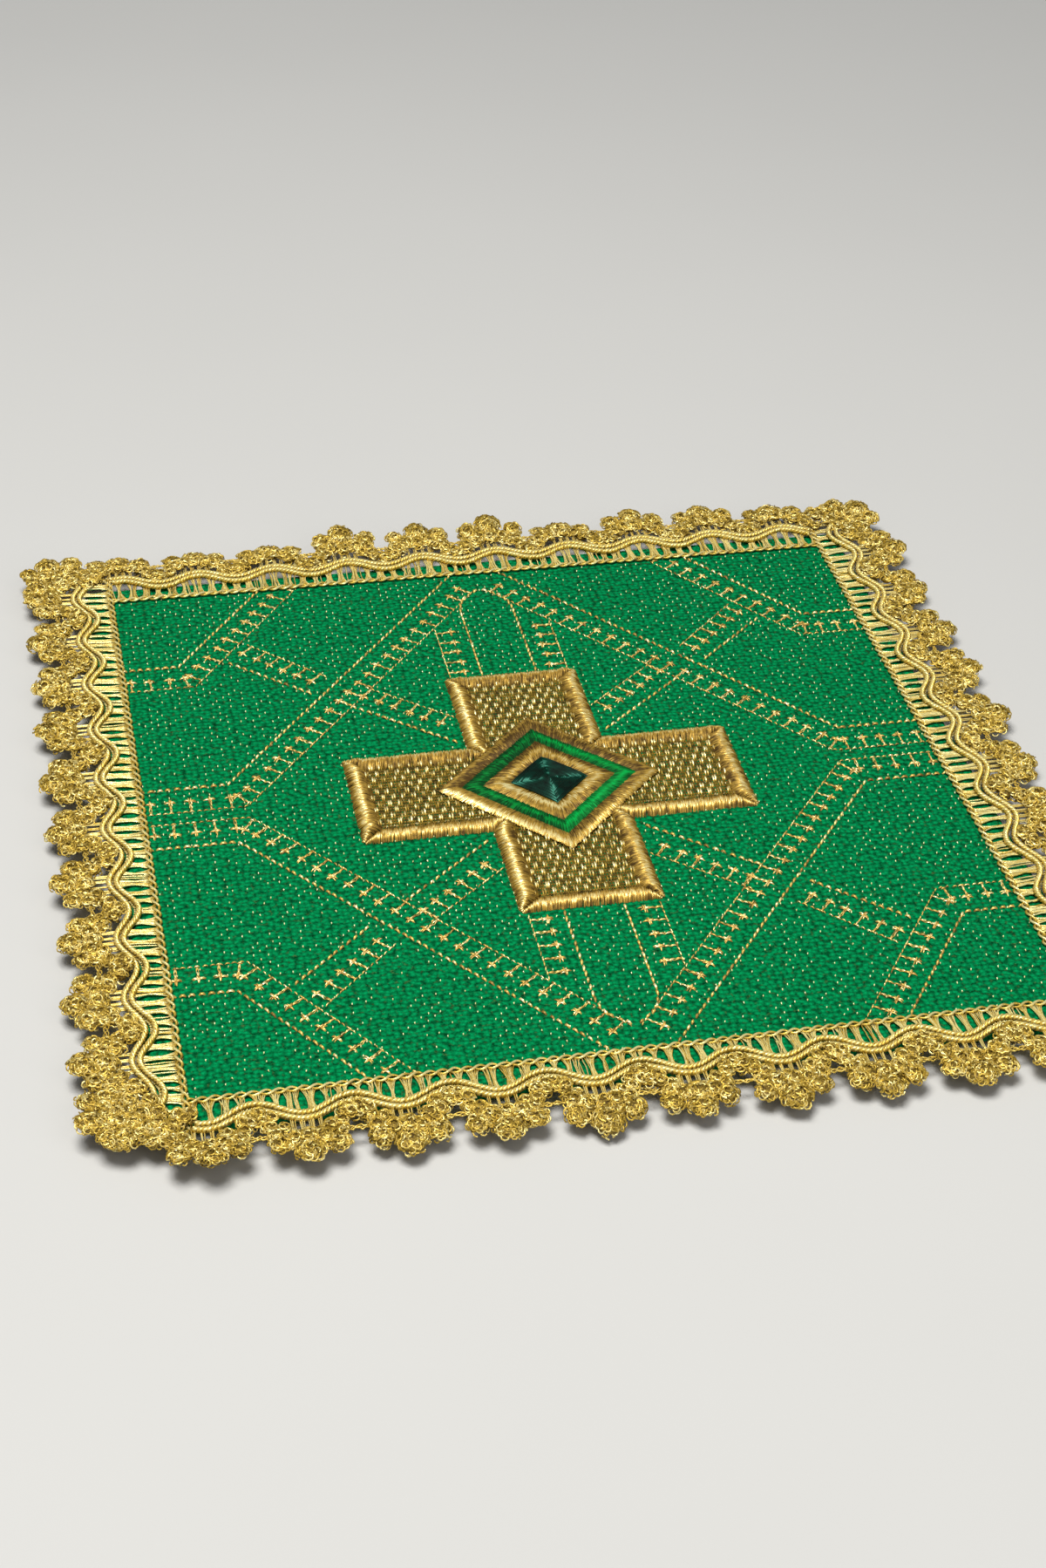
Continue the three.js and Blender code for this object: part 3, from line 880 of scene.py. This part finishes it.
def domes(middles, radius, height):  # flattened balls, painted dark as the shade under the curls
    rows, sides = 4, 9
    up = np.linspace(-np.pi / 2, np.pi / 2, rows + 2)[1:-1]
    turn = 2 * np.pi * np.arange(sides) / sides
    level = np.broadcast_to(np.sin(up)[:, None], (rows, sides))
    ring = np.stack([np.cos(up)[:, None] * np.cos(turn), np.cos(up)[:, None] * np.sin(turn), level], axis=-1)
    size = np.stack([radius, radius, height], axis=-1)[:, None, None]
    verts = (middles[:, None, None] + ring[None] * size).reshape(-1, 3)
    index = np.arange(len(verts)).reshape(len(middles), rows, sides)
    beside = np.roll(index, -1, axis=2)
    walls = np.stack([index[:, :-1], beside[:, :-1], beside[:, 1:], index[:, 1:]], axis=-1)
    caps = np.concatenate([index[:, 0, ::-1], index[:, -1]])
    # painted shade: the pads are dark, standing for the shadow between and under the curls
    tone = np.full(len(verts), scallops["paintedPadShade"])
    return {"verts": verts, "faces": [walls.reshape(-1, 4), caps], "tone": tone}


def bend(verts, lift):  # a scallop's tip bends up or down, more and more from its root outwards
    share = np.maximum(verts[:, 1] - scallops["root"], 0) / scallops["reach"]
    verts[:, 2] += lift * share ** scallops["liftCurve"]


def turnFlat(verts, degrees, before, along=0.0, out=0.0):  # shifts along y, turns about z, then moves
    turn = math.radians(degrees)
    x, y = verts[:, 0].copy(), verts[:, 1] + before
    verts[:, 0] = along + math.cos(turn) * x - math.sin(turn) * y
    verts[:, 1] = out + math.sin(turn) * x + math.cos(turn) * y


def scallop(padList, along, out, point, lift):  # soft pads covered with curls, bent and turned into place
    count = len(padList)
    pads = np.array(padList) + chance.normal(0, scallops["padStray"], (count, 3))
    radius = pads[:, 2]
    middles = np.column_stack([pads[:, :2], scallops["height"] + stray(scallops["padUneven"], count)])
    height = scallops["padHeight"] * chance.uniform(*scallops["padThick"], count)
    share = np.round(scallops["curls"] * np.pi * radius**2).astype(int)
    at = np.repeat(np.arange(count), share)  # the pad that each curl lies on
    number = np.concatenate([np.arange(n) for n in share])
    reach = np.sqrt((number + 0.5) / share[at])
    turn = number * 2.4 + chance.uniform(0, 2 * np.pi, count)[at]
    around = np.stack([np.cos(turn), np.sin(turn)], axis=1)
    spread = around * (reach * (radius[at] - scallops["curlInset"]))[:, None]
    below = chance.random(len(at)) < scallops["below"]
    crown = height[at] * np.sqrt(1.03 - reach**2) * np.where(below, -1, 1)
    spots = middles[at] + np.column_stack([spread, crown])
    facing = unit(np.column_stack([spread * 0.4, np.ones(len(at))]) + chance.normal(0, 0.25, (len(at), 3)))
    outward = np.column_stack([around, np.zeros(len(at))]) + chance.normal(0, 0.5, (len(at), 3))
    strokes = curls(spots, facing, outward, chance.uniform(*scallops["curlSize"], len(at)))
    batches = [domes(middles, radius - 0.3, height * 0.9), strokes]
    for batch in batches:
        bend(batch["verts"], lift)
        turnFlat(batch["verts"], -point, -scallops["root"], along, out)
    return batches


def laceThreads(length):
    count = len(length["lifts"])
    centres = length["shift"] + (np.arange(count) - (count - 1) / 2) * lace["pitch"]
    bends = centres[:-1] + lace["pitch"] / 2
    batches = waveCords(length) + ladder(length) + edgeChain(length)
    batches += outerLadder(centres, length["shift"]) + bridges(bends)
    for x, lift in zip(centres, length["lifts"]):
        batches += scallop(scallopPads, x, scallops["root"], chance.normal(0, scallops["turn"]), lift)
    for along, out, point, lift in length["corners"]:
        batches += scallop(cornerPads, along, out - lace["innerEdge"], point, lift)
    for batch in batches:
        turnFlat(batch["verts"], length["turn"], lace["innerEdge"])
    return joinedMesh(length["name"] + "_threads", batches)


for length in laceLengths:
    name = length["name"] + "_threads"
    addPiece(name, laceThreads(length), finishes["laceGold"], "gold_lace", length["name"])

print("cloth declared")

# Floor, light and camera, in metres
floor = {"reach": 3.0, "level": -0.00005, "low": (0.54, 0.54, 0.53, 1), "high": (0.58, 0.58, 0.57, 1)}


def floorFinish():
    finish, wire, shader = newFinish("paleFloor", {"Roughness": 0.85})
    mottle = wire.place().noise(6.0, 3.0)
    feed(shader, Base_Color=mottle.blend(floor["low"], floor["high"]))
    return finish


def paleFloor():
    mesh = bpy.data.meshes.new("floor")
    reach, level = floor["reach"], floor["level"]  # a hair under the cloth, so that no faces coincide
    corners = [(-reach, -reach, level), (reach, -reach, level), (reach, reach, level), (-reach, reach, level)]
    mesh.from_pydata(corners, [], [(0, 1, 2, 3)])
    plane = bpy.data.objects.new("floor", mesh)
    bpy.context.scene.collection.objects.link(plane)
    mesh.materials.append(floorFinish())


lights = [
    {"name": "key", "spot": (-0.18, -0.14, 0.93), "size": 0.42, "power": 11.0, "colour": (1.0, 0.98, 0.94)},
    {"name": "fill", "spot": (0.4, -0.8, 0.6), "size": 0.8, "power": 2.2, "colour": (1.0, 0.98, 0.95)},
]
studio = {"colour": (0.9, 0.95, 1.0, 1), "strength": 0.15}


def softLights():
    for light in lights:
        lamp = bpy.data.lights.new(light["name"], "AREA")
        lamp.size = light["size"]
        lamp.energy = light["power"]
        lamp.color = light["colour"]
        holder = bpy.data.objects.new(light["name"], lamp)
        holder.location = light["spot"]
        holder.rotation_euler = (-Vector(light["spot"])).to_track_quat("-Z", "Y").to_euler()
        bpy.context.scene.collection.objects.link(holder)
    world = bpy.data.worlds.new("studio")
    world.use_nodes = True
    background = world.node_tree.nodes["Background"]
    background.inputs["Color"].default_value = studio["colour"]
    background.inputs["Strength"].default_value = studio["strength"]
    bpy.context.scene.world = world


viewpoint = {
    "azimuth": -13.05, "elevation": 36.05, "roll": 2.29, "distance": 0.4536, "aim": (-0.00453, 0.00047),
    "lens": 60.05, "sensor": 36, "nearest": 0.01,
}


def photoCamera():
    az, el, roll = (math.radians(viewpoint[key]) for key in ("azimuth", "elevation", "roll"))
    back = Vector((math.sin(az) * math.cos(el), -math.cos(az) * math.cos(el), math.sin(el)))
    right = Vector((math.cos(az), math.sin(az), 0))
    up = back.cross(right)
    tilted = right * math.cos(roll) + up * math.sin(roll)
    upright = up * math.cos(roll) - right * math.sin(roll)
    spot = Vector((*viewpoint["aim"], clothTop * mm)) + back * viewpoint["distance"]
    lens = bpy.data.cameras.new("photoCamera")
    lens.lens = viewpoint["lens"]
    lens.sensor_width = viewpoint["sensor"]
    lens.clip_start = viewpoint["nearest"]
    camera = bpy.data.objects.new("photoCamera", lens)
    turn = Matrix((tilted, upright, back)).transposed()
    camera.matrix_world = Matrix.Translation(spot) @ turn.to_4x4()
    bpy.context.scene.collection.objects.link(camera)
    bpy.context.scene.camera = camera


paleFloor()
softLights()
photoCamera()
bpy.context.scene.view_settings.view_transform = "Standard"
print("stage, lights and camera ready")
